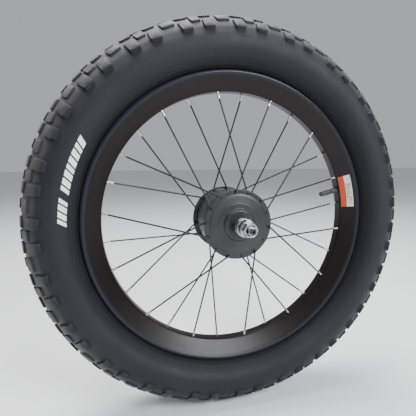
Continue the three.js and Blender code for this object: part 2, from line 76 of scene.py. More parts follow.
# Rim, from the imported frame's own sizes where it gives them
RIM_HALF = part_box("rim")[1].y / MM
VALVE_ANGLE = 13.0
CROWN_R = 184.5
CROWN_HALF = 7.5
WALL_END_R = 202.0
LIP_R = 211.6

# The label on the rim: its angles, and its share of the wall's width
LABEL_START = 4.6
LABEL_END = 19.4
LABEL_LOW = 0.04
LABEL_WIDTH = 0.94
LABEL_COLUMNS = 40
LABEL_ROWS = 15

# Tread blocks, as (long, wide, high): shoulder pairs with transition blocks, and the middle rows
TREAD_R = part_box("tyre")[1].x / MM + 0.6
PAIRS = 23
PAIR_STEP = 6.7
FIRST_PAIR = 117.7
BLOCK_HIGH = 2.6
SHOULDER_BLOCK = (14.2, 18.4, BLOCK_HIGH)
INNER_BLOCK = (14.5, 11.0, BLOCK_HIGH)
MIDDLE_BLOCK = (12.5, 20.0, BLOCK_HIGH)
TRANSITION_WIDE = 13.5
TRANSITION_LONG = (12.5, 17.0)  # beside a pair, and in the gap between two pairs

# White bars on the near sidewall: the two groups, and the band as distances across the casing
PRINT_GROUPS = ((177.0, 169.4, 4), (166.9, 149.9, 8))
PRINT_BAND = (72.2, 83.2)
PRINT_SLANT = 1.5
PRINT_GAP = 0.55

# Spokes
SIDES = 2
PER_SIDE = 14
SPOKE_CIRCLE_R = 46.0
FLANGE_Y = 36.0
FLANGE_HALF = 1.5
STAND_OFF = 2.7
WIRE_R = 1.15
NIPPLE_SEAT_R = 188.3
NIPPLE_Y = 4.0
NIPPLE_LENGTH = 13.0

# Hub and axle
FLANGE_R = 49.5
SHELL_R = 44.0
END_FACE_Y = 44.0
AXLE_SHOULDER_Y = 46.0
AXLE_END_Y = 95.0
THREAD_R = 6.0
THREAD_PITCH = 1.25
FLAT_HALF = 5.0
DROPOUT_FACE_Y = 67.5
SLOT = 6.3
WASHER_THICK = 2.2
NUT_HIGH = 10.0
NUT_FLATS = 18.0


# ---- meshes --------------------------------------------------------------------------------

def polar(radius, angle, y=0.0):
    """The point at a radius and an angle about the axle, y along it."""
    turn = math.radians(angle)
    return Vector((radius * math.cos(turn), y, radius * math.sin(turn)))


def make_object(name, verts, faces, materials, smooth=40):
    """A new mesh object from points in millimetres, shaded smooth below the given angle."""
    mesh = bpy.data.meshes.new(name)
    mesh.from_pydata([tuple(c * MM for c in v) for v in verts], [], faces)
    obj = bpy.data.objects.new(name, mesh)
    bpy.context.scene.collection.objects.link(obj)
    for item in materials:
        mesh.materials.append(item)
    tidy_mesh(mesh)
    mesh.shade_smooth()
    mesh.set_sharp_from_angle(angle=math.radians(smooth))
    return obj


def tidy_mesh(mesh):
    """Joins doubled points and turns every face outwards."""
    build = bmesh.new()
    build.from_mesh(mesh)
    bmesh.ops.remove_doubles(build, verts=build.verts, dist=2e-6)
    bmesh.ops.recalc_face_normals(build, faces=build.faces)
    build.to_mesh(mesh)
    build.free()


def rounded(points, radius, steps=4, closed=True):
    """The outline with each corner replaced by a short curve."""
    result = []
    count = len(points)
    for i, here in enumerate(points):
        if not closed and i in (0, count - 1):
            result.append(tuple(here[:2]))
            continue
        corner = Vector(here[:2])
        before = Vector(points[i - 1][:2])
        after = Vector(points[(i + 1) % count][:2])
        own = here[2] if len(here) > 2 else radius
        start = corner + (before - corner).normalized() * min(own, (before - corner).length * 0.45)
        end = corner + (after - corner).normalized() * min(own, (after - corner).length * 0.45)
        for k in range(steps + 1):
            t = k / steps
            result.append(tuple(start * (1 - t) ** 2 + corner * (2 * t * (1 - t)) + end * t * t))
    return result


def grid_faces(rings, count, wrap_rings, wrap_count=True):
    """Quads between rings of points that follow one another."""
    faces = []
    for i in range(rings if wrap_rings else rings - 1):
        for j in range(count if wrap_count else count - 1):
            a = i * count + j
            b = i * count + (j + 1) % count
            c = ((i + 1) % rings) * count + (j + 1) % count
            d = ((i + 1) % rings) * count + j
            faces.append((a, b, c, d))
    return faces


def slab_faces(rows, columns):
    """The faces of a thin slab whose points are two layers of a grid, the outer layer first."""
    width = columns + 1
    size = (rows + 1) * width
    faces = []
    for layer in (0, 1):
        for face in grid_faces(rows + 1, width, False, False):
            faces.append(tuple(layer * size + k for k in face))
    edge = list(range(width))
    edge += [i * width + columns for i in range(1, rows + 1)]
    edge += [rows * width + j for j in reversed(range(columns))]
    edge += [i * width for i in reversed(range(1, rows))]
    for a, b in zip(edge, edge[1:] + edge[:1]):
        faces.append((a, b, b + size, a + size))
    return faces


def lathe(name, outline, materials, segments=192, smooth=40):
    """A closed outline of (radius, y) turned about the axle."""
    verts = []
    for i in range(segments):
        turn = 360 * i / segments
        verts.extend(polar(r, turn, y) for r, y in outline)
    faces = grid_faces(segments, len(outline), True)
    return make_object(name, verts, faces, materials, smooth)


def close_ends(faces, rings, sides):
    """Adds the two end faces of a bar made of rings."""
    last = (rings - 1) * sides
    faces.append(tuple(range(sides)))
    faces.append(tuple(last + j for j in range(sides)))


def frame_along(direction):
    """Two directions square to the given one."""
    side = direction.cross(Vector((0, 1, 0)))
    if side.length < 1e-4:
        side = direction.cross(Vector((1, 0, 0)))
    side.normalize()
    return side, direction.cross(side).normalized()


def tube(name, path, radii, materials, sides=14):
    """A closed round bar along a path, with one radius for each point."""
    verts = []
    side = None
    for i, point in enumerate(path):
        ahead = path[min(i + 1, len(path) - 1)] - path[max(i - 1, 0)]
        ahead.normalize()
        if side is None:
            side, _ = frame_along(ahead)
        side = (side - ahead * side.dot(ahead)).normalized()
        other = ahead.cross(side)
        for j in range(sides):
            turn = 2 * math.pi * j / sides
            verts.append(point + (side * math.cos(turn) + other * math.sin(turn)) * radii[i])
    faces = grid_faces(len(path), sides, False)
    close_ends(faces, len(path), sides)
    return make_object(name, verts, faces, materials)


def along_axis(name, origin, direction, profile, materials, sides=32, shape=None):
    """A turned piece about any axis, from (radius, distance) pairs. shape may vary a radius by angle."""
    side, other = frame_along(direction)
    verts = []
    for i, (r, distance) in enumerate(profile):
        center = origin + direction * distance
        for j in range(sides):
            turn = 2 * math.pi * j / sides
            here = shape(r, turn, i) if shape else r
            verts.append(center + (side * math.cos(turn) + other * math.sin(turn)) * here)
    faces = grid_faces(len(profile), sides, False)
    close_ends(faces, len(profile), sides)
    return make_object(name, verts, faces, materials)


# ---- materials -----------------------------------------------------------------------------

class Paint:
    """A node material on one Principled shader, built up by its methods."""

    def __init__(self, name, color, roughness, metallic=0.0, specular=0.5):
        self.material = bpy.data.materials.new(name)
        self.material.use_nodes = True
        self.nodes = self.material.node_tree.nodes
        self.links = self.material.node_tree.links
        self.shader = self.nodes["Principled BSDF"]
        self.color = color
        self.shader.inputs["Base Color"].default_value = (*color, 1)
        self.shader.inputs["Roughness"].default_value = roughness
        self.shader.inputs["Metallic"].default_value = metallic
        self.shader.inputs["Specular IOR Level"].default_value = specular
        self.place = self.nodes.new("ShaderNodeTexCoord").outputs
        self.coords = self.place["Object"]

    def math(self, operation, a, b=0.5):
        node = self.nodes.new("ShaderNodeMath")
        node.operation = operation
        for socket, value in zip(node.inputs, (a, b)):
            if isinstance(value, (int, float)):
                socket.default_value = value
            else:
                self.links.new(value, socket)
        return node.outputs[0]

    def vector_math(self, operation, a, b=None):
        node = self.nodes.new("ShaderNodeVectorMath")
        node.operation = operation
        self.links.new(a, node.inputs[0])
        if isinstance(b, tuple):
            node.inputs[1].default_value = b
        elif b is not None:
            self.links.new(b, node.inputs[1])
        return node.outputs["Value" if operation == "DOT_PRODUCT" else "Vector"]

    def noise(self, scale, detail=6.0, rough=0.55, low=0.0, high=1.0, stretch=None):
        """A noise field over the object, spread out to run from low to high."""
        coords = self.coords
        if stretch:
            mapping = self.nodes.new("ShaderNodeMapping")
            mapping.inputs["Scale"].default_value = stretch
            self.links.new(coords, mapping.inputs["Vector"])
            coords = mapping.outputs[0]
        node = self.nodes.new("ShaderNodeTexNoise")
        node.inputs["Scale"].default_value = scale
        node.inputs["Detail"].default_value = detail
        node.inputs["Roughness"].default_value = rough
        self.links.new(coords, node.inputs["Vector"])
        return self.between(node.outputs["Fac"], 0.22, 0.78, low, high)

    def between(self, value, from_low, from_high, low, high):
        """A value's place between two limits, turned into a place between low and high."""
        node = self.nodes.new("ShaderNodeMapRange")
        for socket, number in zip(node.inputs[1:5], (from_low, from_high, low, high)):
            socket.default_value = number
        self.links.new(value, node.inputs[0])
        return node.outputs[0]

    def axle_distance(self):
        """The distance of a point from the axle's axis."""
        parts = self.nodes.new("ShaderNodeSeparateXYZ")
        self.links.new(self.coords, parts.inputs[0])
        across = self.math("POWER", parts.outputs["X"], 2.0)
        up = self.math("POWER", parts.outputs["Z"], 2.0)
        return self.math("SQRT", self.math("ADD", across, up))

    def facing_out(self):
        """How far a surface faces away from the axle, from -1 to 1."""
        flat = self.vector_math("MULTIPLY", self.coords, (1.0, 0.0, 1.0))
        radial = self.vector_math("NORMALIZE", flat)
        return self.vector_math("DOT_PRODUCT", radial, self.place["Normal"])

    def tint(self, color, factor):
        """Mixes another colour in where the factor is high."""
        node = self.nodes.new("ShaderNodeMix")
        node.data_type = "RGBA"
        socket = self.shader.inputs["Base Color"]
        if socket.is_linked:
            self.links.new(socket.links[0].from_socket, node.inputs[6])
        else:
            node.inputs[6].default_value = (*self.color, 1)
        node.inputs[7].default_value = (*color, 1)
        self.links.new(factor, node.inputs[0])
        self.links.new(node.outputs[2], socket)

    def rough(self, factor, low, high):
        """Lets the roughness follow a factor, from low to high."""
        self.links.new(self.between(factor, 0, 1, low, high), self.shader.inputs["Roughness"])

    def bump(self, height, depth, strength=1.0):
        """Adds fine relief, its depth in millimetres."""
        node = self.nodes.new("ShaderNodeBump")
        node.inputs["Distance"].default_value = depth * MM
        node.inputs["Strength"].default_value = strength
        self.links.new(height, node.inputs["Height"])
        socket = self.shader.inputs["Normal"]
        if socket.is_linked:
            self.links.new(socket.links[0].from_socket, node.inputs["Normal"])
        self.links.new(node.outputs["Normal"], socket)


def tyre_paint():
    """Bluish black rubber, with painted shade darkening it by the rim, and pale dust on the outward faces
    of the tread.
    """
    paint = Paint("tyre rubber", (0.0105, 0.0100, 0.0142), 0.6, specular=0.26)
    distance = paint.axle_distance()
    tread = paint.between(distance, 0.2575, 0.279, 0.0, 1.0)
    facing = paint.between(paint.facing_out(), 0.2, 0.55, 0.0, 1.0)
    dusty = paint.math("MULTIPLY", tread, facing)
    dust = paint.math("MULTIPLY", dusty, paint.noise(60, low=0.3, high=1.0))
    paint.tint((0.0185, 0.0180, 0.0232), paint.noise(9, low=0.0, high=0.7))
    # painted shade: the rubber is darkened towards the rim, standing in for the shade in the crease
    # between tyre and rim
    paint.tint((0.007, 0.0066, 0.008), paint.between(distance, 0.226, 0.2125, 0.0, 0.85))
    paint.tint((0.135, 0.130, 0.126), dust)
    paint.rough(paint.noise(35), 0.52, 0.74)
    paint.bump(paint.noise(900, detail=3), 0.10)
    paint.bump(paint.noise(70, detail=3), 0.25, 0.6)
    return paint.material


def rim_paint():
    """Warm black on the wall, and a painted bluish reflection on the lip."""
    paint = Paint("rim satin black", (0.0036, 0.0018, 0.0019), 0.3, specular=0.22)
    paint.tint((0.0085, 0.0048, 0.0046), paint.noise(22, low=0.0, high=0.6))
    # painted reflection: the lip band is tinted bluish in place of a highlight reflected from above
    lip = paint.between(paint.axle_distance(), 0.2025, 0.2055, 0.0, 1.0)
    paint.tint((0.0120, 0.0138, 0.0205), lip)
    paint.rough(paint.noise(55), 0.31, 0.36)
    paint.bump(paint.noise(1400, detail=2), 0.02)
    return paint.material


def black_wire_paint():
    paint = Paint("black wire", (0.009, 0.009, 0.010), 0.34, 0.4)
    paint.tint((0.024, 0.024, 0.026), paint.noise(160, low=0.0, high=0.7))
    paint.rough(paint.noise(240), 0.28, 0.46)
    return paint.material


def shell_paint():
    paint = Paint("hub satin black", (0.0085, 0.0085, 0.0095), 0.38)
    paint.tint((0.019, 0.019, 0.021), paint.noise(45, low=0.0, high=0.7))
    paint.rough(paint.noise(90), 0.34, 0.5)
    paint.bump(paint.noise(1500, detail=3), 0.035)
    return paint.material


def metal_paint(name, color, roughness, grain=(1.0, 12.0, 1.0)):
    """A bare or plated metal with stains and a fine turned grain."""
    paint = Paint(name, color, roughness, 1.0)
    darker = tuple(c * 0.62 for c in color)
    paint.tint(darker, paint.noise(70, low=0.0, high=0.8))
    fine = paint.noise(420, detail=4, stretch=grain)
    paint.rough(fine, roughness * 0.75, roughness * 1.35)
    paint.bump(fine, 0.012)
    return paint.material


def plastic_paint(name, color, roughness):
    """A moulded plastic or rubber with slightly lighter patches."""
    paint = Paint(name, color, roughness)
    lighter = tuple(min(1.0, c * 1.5 + 0.006) for c in color)
    paint.tint(lighter, paint.noise(80, low=0.0, high=0.7))
    paint.rough(paint.noise(120), roughness * 0.85, min(1.0, roughness * 1.2))
    paint.bump(paint.noise(1100, detail=3), 0.03)
    return paint.material


def worn_print_paint(name, color):
    """A printed colour, worn in spots."""
    paint = Paint(name, color, 0.5)
    worn = tuple(c * 0.55 for c in color)
    paint.tint(worn, paint.noise(260, detail=8, rough=0.7, low=-0.7, high=1.0))
    paint.rough(paint.noise(150), 0.42, 0.62)
    paint.bump(paint.noise(900), 0.03)
    return paint.material


def winding_paint():
    paint = Paint("enamelled copper", (0.52, 0.21, 0.085), 0.34, 1.0)
    paint.tint((0.30, 0.10, 0.04), paint.noise(300, low=0.0, high=0.9, stretch=(1, 6, 1)))
    paint.bump(paint.noise(500, stretch=(1, 8, 1)), 0.08)
    return paint.material


def make_paints():
    """One material for each material slot of the part, and for the label and the print."""
    return {
        "tyre_rubber": tyre_paint(),
        "rim_black": rim_paint(),
        "spoke_black": black_wire_paint(),
        "shell_black": shell_paint(),
        "soft_rubber": plastic_paint("soft rubber", (0.020, 0.020, 0.022), 0.62),
        "valve_plastic": plastic_paint("valve cap plastic", (0.016, 0.016, 0.018), 0.42),
        "rim_tape": plastic_paint("rim tape", (0.32, 0.045, 0.035), 0.6),
        "nipple": metal_paint("nickel plate", (0.52, 0.50, 0.47), 0.28),
        "axle_steel": metal_paint("machined steel", (0.42, 0.43, 0.45), 0.3, (1.0, 30.0, 1.0)),
        "bearing_steel": metal_paint("ground steel", (0.5, 0.51, 0.53), 0.24),
        "gear_steel": metal_paint("hardened steel", (0.36, 0.37, 0.39), 0.36),
        "zinc": metal_paint("zinc plate", (0.60, 0.62, 0.65), 0.28),
        "lamination": metal_paint("stacked laminations", (0.2, 0.2, 0.21), 0.5, (1.0, 90.0, 1.0)),
        "magnet": metal_paint("nickel plated magnet", (0.4, 0.41, 0.43), 0.28),
        "nylon": plastic_paint("natural nylon", (0.72, 0.68, 0.58), 0.45),
        "board": plastic_paint("circuit board", (0.02, 0.13, 0.06), 0.35),
        "copper": winding_paint(),
        "label_white": worn_print_paint("label white", (0.62, 0.58, 0.54)),
        "label_orange": worn_print_paint("label orange", (0.44, 0.040, 0.007)),
        "label_ink": worn_print_paint("label ink", (0.09, 0.07, 0.07)),
        "sidewall_print": worn_print_paint("sidewall print", (0.86, 0.86, 0.87)),
    }


# ---- tyre ----------------------------------------------------------------------------------

# Half of the casing's outer face, from the crown to the bead, as (radius, y)
CASING = [
    (TREAD_R - 2.6, 0.0), (TREAD_R - 3.7, 10.1), (TREAD_R - 7.6, 19.8), (TREAD_R - 13.8, 28.4),
    (TREAD_R - 21.2, 35.3), (TREAD_R - 28.5, 39.7), (TREAD_R - 35.5, 42.9), (TREAD_R - 43.0, 44.5),
    (TREAD_R - 52.0, 43.0), (TREAD_R - 60.0, 37.4), (TREAD_R - 66.0, 29.6), (TREAD_R - 69.6, 22.8),
    (TREAD_R - 71.6, 18.6),
]


def spline(points, steps):
    """A smooth curve through the points, with the given number of steps between each two."""
    padded = [points[0]] + list(points) + [points[-1]]
    result = []
    for i in range(1, len(padded) - 2):
        p0, p1, p2, p3 = (Vector(p) for p in padded[i - 1:i + 3])
        for k in range(steps):
            t = k / steps
            result.append(0.5 * ((2 * p1) + (p2 - p0) * t + (2 * p0 - 5 * p1 + 4 * p2 - p3) * t * t
                                 + (3 * p1 - p0 - 3 * p2 + p3) * t ** 3))
    result.append(Vector(points[-1]))
    return result


class Casing:
    """The casing's outer face, addressed by the distance across it from the crown."""

    def __init__(self):
        mirrored = [(r, -y) for r, y in reversed(CASING[1:])] + CASING
        self.points = spline(mirrored, 6)
        middle = (len(self.points) - 1) // 2
        self.across = [0.0]
        for a, b in zip(self.points, self.points[1:]):
            self.across.append(self.across[-1] + (b - a).length)
        offset = self.across[middle]
        self.across = [s - offset for s in self.across]

    def at(self, across, lift=0.0):
        """The (radius, y) at a distance across, lifted square to the casing."""
        i = 0
        while i < len(self.across) - 2 and self.across[i + 1] < across:
            i += 1
        share = (across - self.across[i]) / (self.across[i + 1] - self.across[i])
        along = (self.points[i + 1] - self.points[i]).normalized()
        here = self.points[i].lerp(self.points[i + 1], share)
        return here + Vector((along.y, -along.x)) * lift

    def point(self, across, angle, lift=0.0):
        """The point at a distance across and an angle about the axle."""
        r, y = self.at(across, lift)
        return polar(r, angle, y)


def block_outline(long, wide, corner):
    """A rectangle with cut and softened corners, as (along, across) offsets."""
    points = []
    for sx, sy in ((1, 1), (-1, 1), (-1, -1), (1, -1)):
        pair = [(sx * (long / 2 - corner), sy * wide / 2), (sx * long / 2, sy * (wide / 2 - corner))]
        middle = (sx * (long / 2 - corner * 0.32), sy * (wide / 2 - corner * 0.32))
        ordered = [pair[0], middle, pair[1]]
        points.extend(ordered if sx * sy < 0 else ordered[::-1])
    return points


def tread_block(verts, faces, casing, across, angle, size, twist=0.0, skirt=0.0, tip=0.0):
    """Adds one tread block: long and wide at its top, standing high from the casing.

    A shoulder block's outer end stands higher by tip, and its foot runs out further by skirt.
    """
    long, wide, high = size
    outline = block_outline(long, wide, min(long, wide) * 0.14)
    levels = [(-1.0, 1.12, 1.0), (high * 0.12, 1.07, 0.9), (high * 0.88, 1.0, 0.06), (high, 0.94, 0.0)]
    start = len(verts)
    turn = math.radians(twist)
    outward = 1 if across > 0 else -1
    radius = casing.at(across, high)[0]
    for lift, scale, foot in levels:
        for a, b in outline:
            along = (a * math.cos(turn) - b * math.sin(turn)) * scale
            over = (a * math.sin(turn) + b * math.cos(turn)) * scale
            outer_share = max(0.0, over * outward / wide * 2)
            over += outward * skirt * foot * outer_share
            rise = lift + (tip * outer_share if lift > high / 2 else 0.0)
            verts.append(casing.point(across + over, angle + math.degrees(along / radius), rise))
    count = len(outline)
    for face in grid_faces(len(levels), count, False):
        faces.append(tuple(start + k for k in face))
    top = start + (len(levels) - 1) * count
    verts.append(casing.point(across, angle, high + tip * 0.15))
    for j in range(count):
        faces.append((top + j, top + (j + 1) % count, len(verts) - 1))
    faces.append(tuple(start + j for j in reversed(range(count))))


def tread_blocks(casing):
    """All blocks of the tread: shoulder pairs, a smaller block in each gap, and the middle rows."""
    verts = []
    faces = []
    pitch = 360 / PAIRS
    for i in range(PAIRS):
        for side in (-1, 1):
            base = FIRST_PAIR + pitch * (i + (0.5 if side > 0 else 0.0))
            for step in (-0.5, 0.5):
                at = base + step * PAIR_STEP
                twist = side * step * 8
                tread_block(verts, faces, casing, side * 39.2, at, SHOULDER_BLOCK, twist, 1.2, 2.2)
                tread_block(verts, faces, casing, side * 14.0, at, INNER_BLOCK, -twist)
            for step, long in zip((0.0, 0.5), TRANSITION_LONG):
                size = (long, TRANSITION_WIDE, BLOCK_HIGH)
                tread_block(verts, faces, casing, side * 26.4, base + pitch * step, size, side * 5, 0.6)
        for step, twist in ((0.0, 8), (0.5, -8)):
            at = FIRST_PAIR + pitch * (i + step)
            tread_block(verts, faces, casing, 0.0, at, MIDDLE_BLOCK, twist)
    return verts, faces


def with_ribs(radius, y):
    """A point of the casing, raised where a moulding rib runs around near the bead."""
    depth = TREAD_R - radius
    on_rib = 61.5 < depth < 62.8 or 64.8 < depth < 65.8
    return radius + (0.45 if on_rib else 0.0), y


def build_tyre(paints):
    """The hollow casing with its beads, the tread on it, and the print on its sidewall."""
    casing = Casing()
    outer = [with_ribs(*casing.at(s)) for s in casing.across]
    bead = [
        (205.6, 16.6), (205.6, 12.6), (213.0, 16.0), (224.5, 32.5), (241.0, 40.3), (254.5, 36.3),
        (265.0, 27.0), (272.0, 12.0),
    ]
    inside = rounded(bead, 3.0, 3, closed=False)
    outline = outer + inside + [(r, -y) for r, y in reversed(inside)]
    tyre = lathe("tyre_casing", outline, [paints["tyre_rubber"]], 276, smooth=35)
    verts, faces = tread_blocks(casing)
    tread = make_object("tyre_tread", verts, faces, [paints["tyre_rubber"]], 32)
    for piece in (tyre, tread):
        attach(piece, "wheel")
    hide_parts("tyre")
    build_sidewall_print(casing, paints)


def sidewall_bar(casing, start, end):
    """A thin raised and slanted bar on the near sidewall between two angles."""
    verts = []
    low, high = PRINT_BAND
    steps = max(4, int(abs(end - start) * 1.5))
    rows = 8
    for lift in (0.25, -0.3):
        for i in range(rows + 1):
            over = low + (high - low) * i / rows
            lean = PRINT_SLANT * (i / rows - 0.5)
            for j in range(steps + 1):
                angle = start + (end - start) * j / steps + lean
                verts.append(casing.point(NEAR * over, angle, lift))
    return verts, slab_faces(rows, steps)


def slanted_bars(start, end, count):
    """The start and end angles of bars side by side, wide and narrow in turn."""
    shares = [1.0 if k % 3 else 0.72 for k in range(count)]
    unit = (abs(end - start) - PRINT_GAP * (count - 1)) / sum(shares)
    bars = []
    at = start
    for share in shares:
        bars.append((at, at - unit * share))
        at -= unit * share + PRINT_GAP
    return bars


def build_sidewall_print(casing, paints):
    """Plain white slanted bars, in two groups, in place of the maker's lettering."""
    verts = []
    faces = []
    for group in PRINT_GROUPS:
        for start, end in slanted_bars(*group):
            bar_verts, bar_faces = sidewall_bar(casing, start, end)
            faces.extend(tuple(k + len(verts) for k in face) for face in bar_faces)
            verts.extend(bar_verts)
    print_piece = make_object("sidewall_print", verts, faces, [paints["sidewall_print"]])
    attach(print_piece, "wheel")


# ---- rim and valve -------------------------------------------------------------------------

def build_rim(paints):
    """The single-wall hoop: its half section as (radius, y, corner rounding), mirrored."""
    half = [
        (CROWN_R, 0.0), (CROWN_R, CROWN_HALF, 1.6), (203.2, RIM_HALF - 3.2, 4.5),
        (206.2, RIM_HALF - 0.2, 3.0), (209.6, RIM_HALF - 0.8, 2.6), (LIP_R, RIM_HALF - 3.0, 1.8),
        (210.8, RIM_HALF - 4.8, 0.8), (204.2, RIM_HALF - 6.3, 1.0), (203.4, 11.5, 1.0),
        (190.5, 7.6, 1.5), (187.0, 5.6, 1.0), (187.0, 0.0),
    ]
    mirror = [(p[0], -p[1], *p[2:]) for p in reversed(half[1:-1])]
    outline = rounded(half + mirror, 0.5, 5)
    rim = lathe("rim_hoop", outline, [paints["rim_black"]], 288, smooth=50)
    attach(rim, "wheel")
    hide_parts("rim")
    build_sticker(paints)


def wall_point(share, angle, lift):
    """A point on the near wall of the rim, from its crown edge (0) to its lip (1), lifted off it."""
    inner = Vector((CROWN_R + 1.2, CROWN_HALF + 0.9))
    outer = Vector((WALL_END_R, RIM_HALF - 4.2))
    along = (outer - inner).normalized()
    r, y = inner.lerp(outer, share) + Vector((-along.y, along.x)) * lift
    return polar(r, angle, NEAR * y)


def build_sticker(paints):
    """A vinyl label on the rim's near wall: an orange strip, a white field, and plain ink bars."""
    verts = []
    for lift in (0.32, 0.02):
        for i in range(LABEL_ROWS + 1):
            share = LABEL_LOW + LABEL_WIDTH * i / LABEL_ROWS
            for j in range(LABEL_COLUMNS + 1):
                angle = LABEL_START + (LABEL_END - LABEL_START) * j / LABEL_COLUMNS
                verts.append(wall_point(share, angle, lift))
    faces = slab_faces(LABEL_ROWS, LABEL_COLUMNS)
    inks = [paints["label_white"], paints["label_orange"], paints["label_ink"]]
    sticker = make_object("rim_label", verts, faces, inks)
    draw = random.Random(SEED)
    dark = {(row, column) for row in (8, 10, 12) for column in range(4, 30) if draw.random() < 0.62}
    for face in sticker.data.polygons:
        spot = label_spot(face.center)
        if spot[0] < LABEL_ROWS * 0.46:
            face.material_index = 1
        elif spot in dark:
            face.material_index = 2
    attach(sticker, "wheel")
    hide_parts("rim_sticker")


def label_spot(center):
    """The label's row and column that a face lies in."""
    r = math.hypot(center.x, center.z) / MM
    angle = math.degrees(math.atan2(center.z, center.x))
    share = (r - (CROWN_R + 1.2)) / (WALL_END_R - (CROWN_R + 1.2))
    row = int((share - LABEL_LOW) / LABEL_WIDTH * LABEL_ROWS)
    return row, int((angle - LABEL_START) / (LABEL_END - LABEL_START) * LABEL_COLUMNS)


def build_valve(paints):
    """The rubber stem with its collar, and the knurled cap."""
    inward = -polar(1.0, VALVE_ANGLE)
    base = polar(0.0, VALVE_ANGLE)
    stem_profile = [
        (4.3, -213.0), (4.3, -187.5), (5.6, -186.6), (5.9, -185.0), (5.6, -183.4), (4.5, -182.4),
        (4.2, -180.5), (4.05, -174.0), (3.5, -172.6), (2.9, -172.0), (2.8, -163.5),
    ]
    stem = along_axis("valve_stem_rubber", base, inward, stem_profile, [paints["soft_rubber"]], 40)
    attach(stem, "wheel")
    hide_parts("valve_stem")
    cap_profile = [
        (3.0, -171.2), (4.1, -171.2), (4.35, -170.8), (4.35, -169.6), (4.2, -169.2), (4.2, -158.4),
        (4.0, -157.2), (3.3, -155.6), (2.4, -154.7), (1.0, -154.4),
    ]

    def knurl(radius, turn, i):
        return radius - (0.28 if 4 <= i <= 6 and math.sin(turn * 16) > 0 else 0.0)

    cap = along_axis("valve_cap_knurled", base, inward, cap_profile, [paints["valve_plastic"]], 96, knurl)
    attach(cap, "wheel")
    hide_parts("valve_cap")


# ---- spokes --------------------------------------------------------------------------------

def spoke_lines():
    """Where each spoke runs: (node, seat at the rim, hole in the flange, side, forwards)."""
    step = 360 / PER_SIDE
    lines = []
    for i in range(SIDES * PER_SIDE):
        side = -1 if i % 2 == 0 else 1
        forwards = 1 if (i // 2) % 2 == 0 else -1
        rim_angle = VALVE_ANGLE + (i + 0.5) * step / 2
        hub_angle = rim_angle + forwards * step
        node = f"spoke_{'left' if side < 0 else 'right'}_{i // 2 + 1}"
        seat = polar(NIPPLE_SEAT_R, rim_angle, side * NIPPLE_Y)
        hole = polar(SPOKE_CIRCLE_R, hub_angle, side * FLANGE_Y)
        lines.append((node, seat, hole, side, forwards))
    return lines


def build_spoke(node, seat, hole, side, forwards, paints):
    """One wire with its head and bent elbow, and its nipple."""
    out = Vector((0, side * forwards, 0))
    top = hole + out * (FLANGE_HALF + STAND_OFF)
    direction = (seat - top).normalized()
    head = hole - out * (FLANGE_HALF + 1.35)
    bend = 2.6
    path = [head, head + out * 0.5, head + out * 0.9, head + out * 1.3, hole]
    radii = [1.3, 1.95, 1.95, WIRE_R, WIRE_R]
    before = top - out * bend
    after = top + direction * bend
    for k in range(9):
        t = k / 8
        path.append(before * (1 - t) ** 2 + top * (2 * t * (1 - t)) + after * t * t)
        radii.append(WIRE_R)
    path.extend((seat - direction * 12.0, seat))
    radii.extend((WIRE_R, WIRE_R))
    wire = tube(f"{node}_wire", path, radii, [paints["spoke_black"]])
    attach(wire, "wheel")
    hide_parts(node)
    build_nipple(node, seat, direction, paints)


def build_nipple(node, seat, direction, paints):
    """A round barrel with four flats towards the hub, and a domed head inside the rim."""
    start = seat - direction * NIPPLE_LENGTH
    profile = [
        (1.3, 0.0), (1.62, 0.25), (1.72, 0.7), (1.72, 6.2), (1.86, 6.8), (1.95, 7.4), (1.95, 12.4),
        (2.7, 13.1), (2.8, 13.6), (2.6, 14.6), (1.8, 15.2),
    ]

    def flats(radius, turn, i):
        if i > 3:
            return radius
        return min(radius, 1.5 / max(abs(math.cos(turn)), abs(math.sin(turn))))

    nipple = along_axis(f"{node}_nipple", start, direction, profile, [paints["nipple"]], 24, flats)
    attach(nipple, "wheel")


def build_spokes(paints):
    for line in spoke_lines():
        build_spoke(*line, paints)


# ---- hub -----------------------------------------------------------------------------------

def cut_holes(obj, holes):
    """Cuts round holes, each (start, end, radius) in millimetres, out of an object."""
    verts = []
    faces = []
    sides = 20
    for start, end, radius in holes:
        side, other = frame_along((end - start).normalized())
        base = len(verts)
        for point in (start, end):
            for j in range(sides):
                turn = 2 * math.pi * j / sides
                verts.append(point + (side * math.cos(turn) + other * math.sin(turn)) * radius)
        faces.extend(tuple(base + k for k in face) for face in grid_faces(2, sides, False))
        faces.append(tuple(base + j for j in reversed(range(sides))))
        faces.append(tuple(base + sides + j for j in range(sides)))
    cutter = make_object("cutter", verts, faces, [])
    change = obj.modifiers.new("holes", "BOOLEAN")
    change.operation = "DIFFERENCE"
    change.solver = "EXACT"
    change.object = cutter
    bpy.context.view_layer.objects.active = obj
    bpy.ops.object.modifier_apply(modifier=change.name)
    bpy.data.objects.remove(cutter)
    obj.data.shade_smooth()
    obj.data.set_sharp_from_angle(angle=math.radians(35))


def end_wall(sign):
    """The outer face of one end of the hub, from the bearing seat to the edge of the shell."""
    return [
        (14.3, sign * 35.2), (14.3, sign * 42.5, 0.3), (10.0, sign * 42.5, 0.3),
        (10.0, sign * END_FACE_Y, 0.4), (20.5, sign * END_FACE_Y, 1.2), (22.3, sign * 42.3, 1.0),
        (22.8, sign * 41.0, 1.2), (30.0, sign * 40.6, 0.6), (30.6, sign * 40.0, 0.4),
    ]


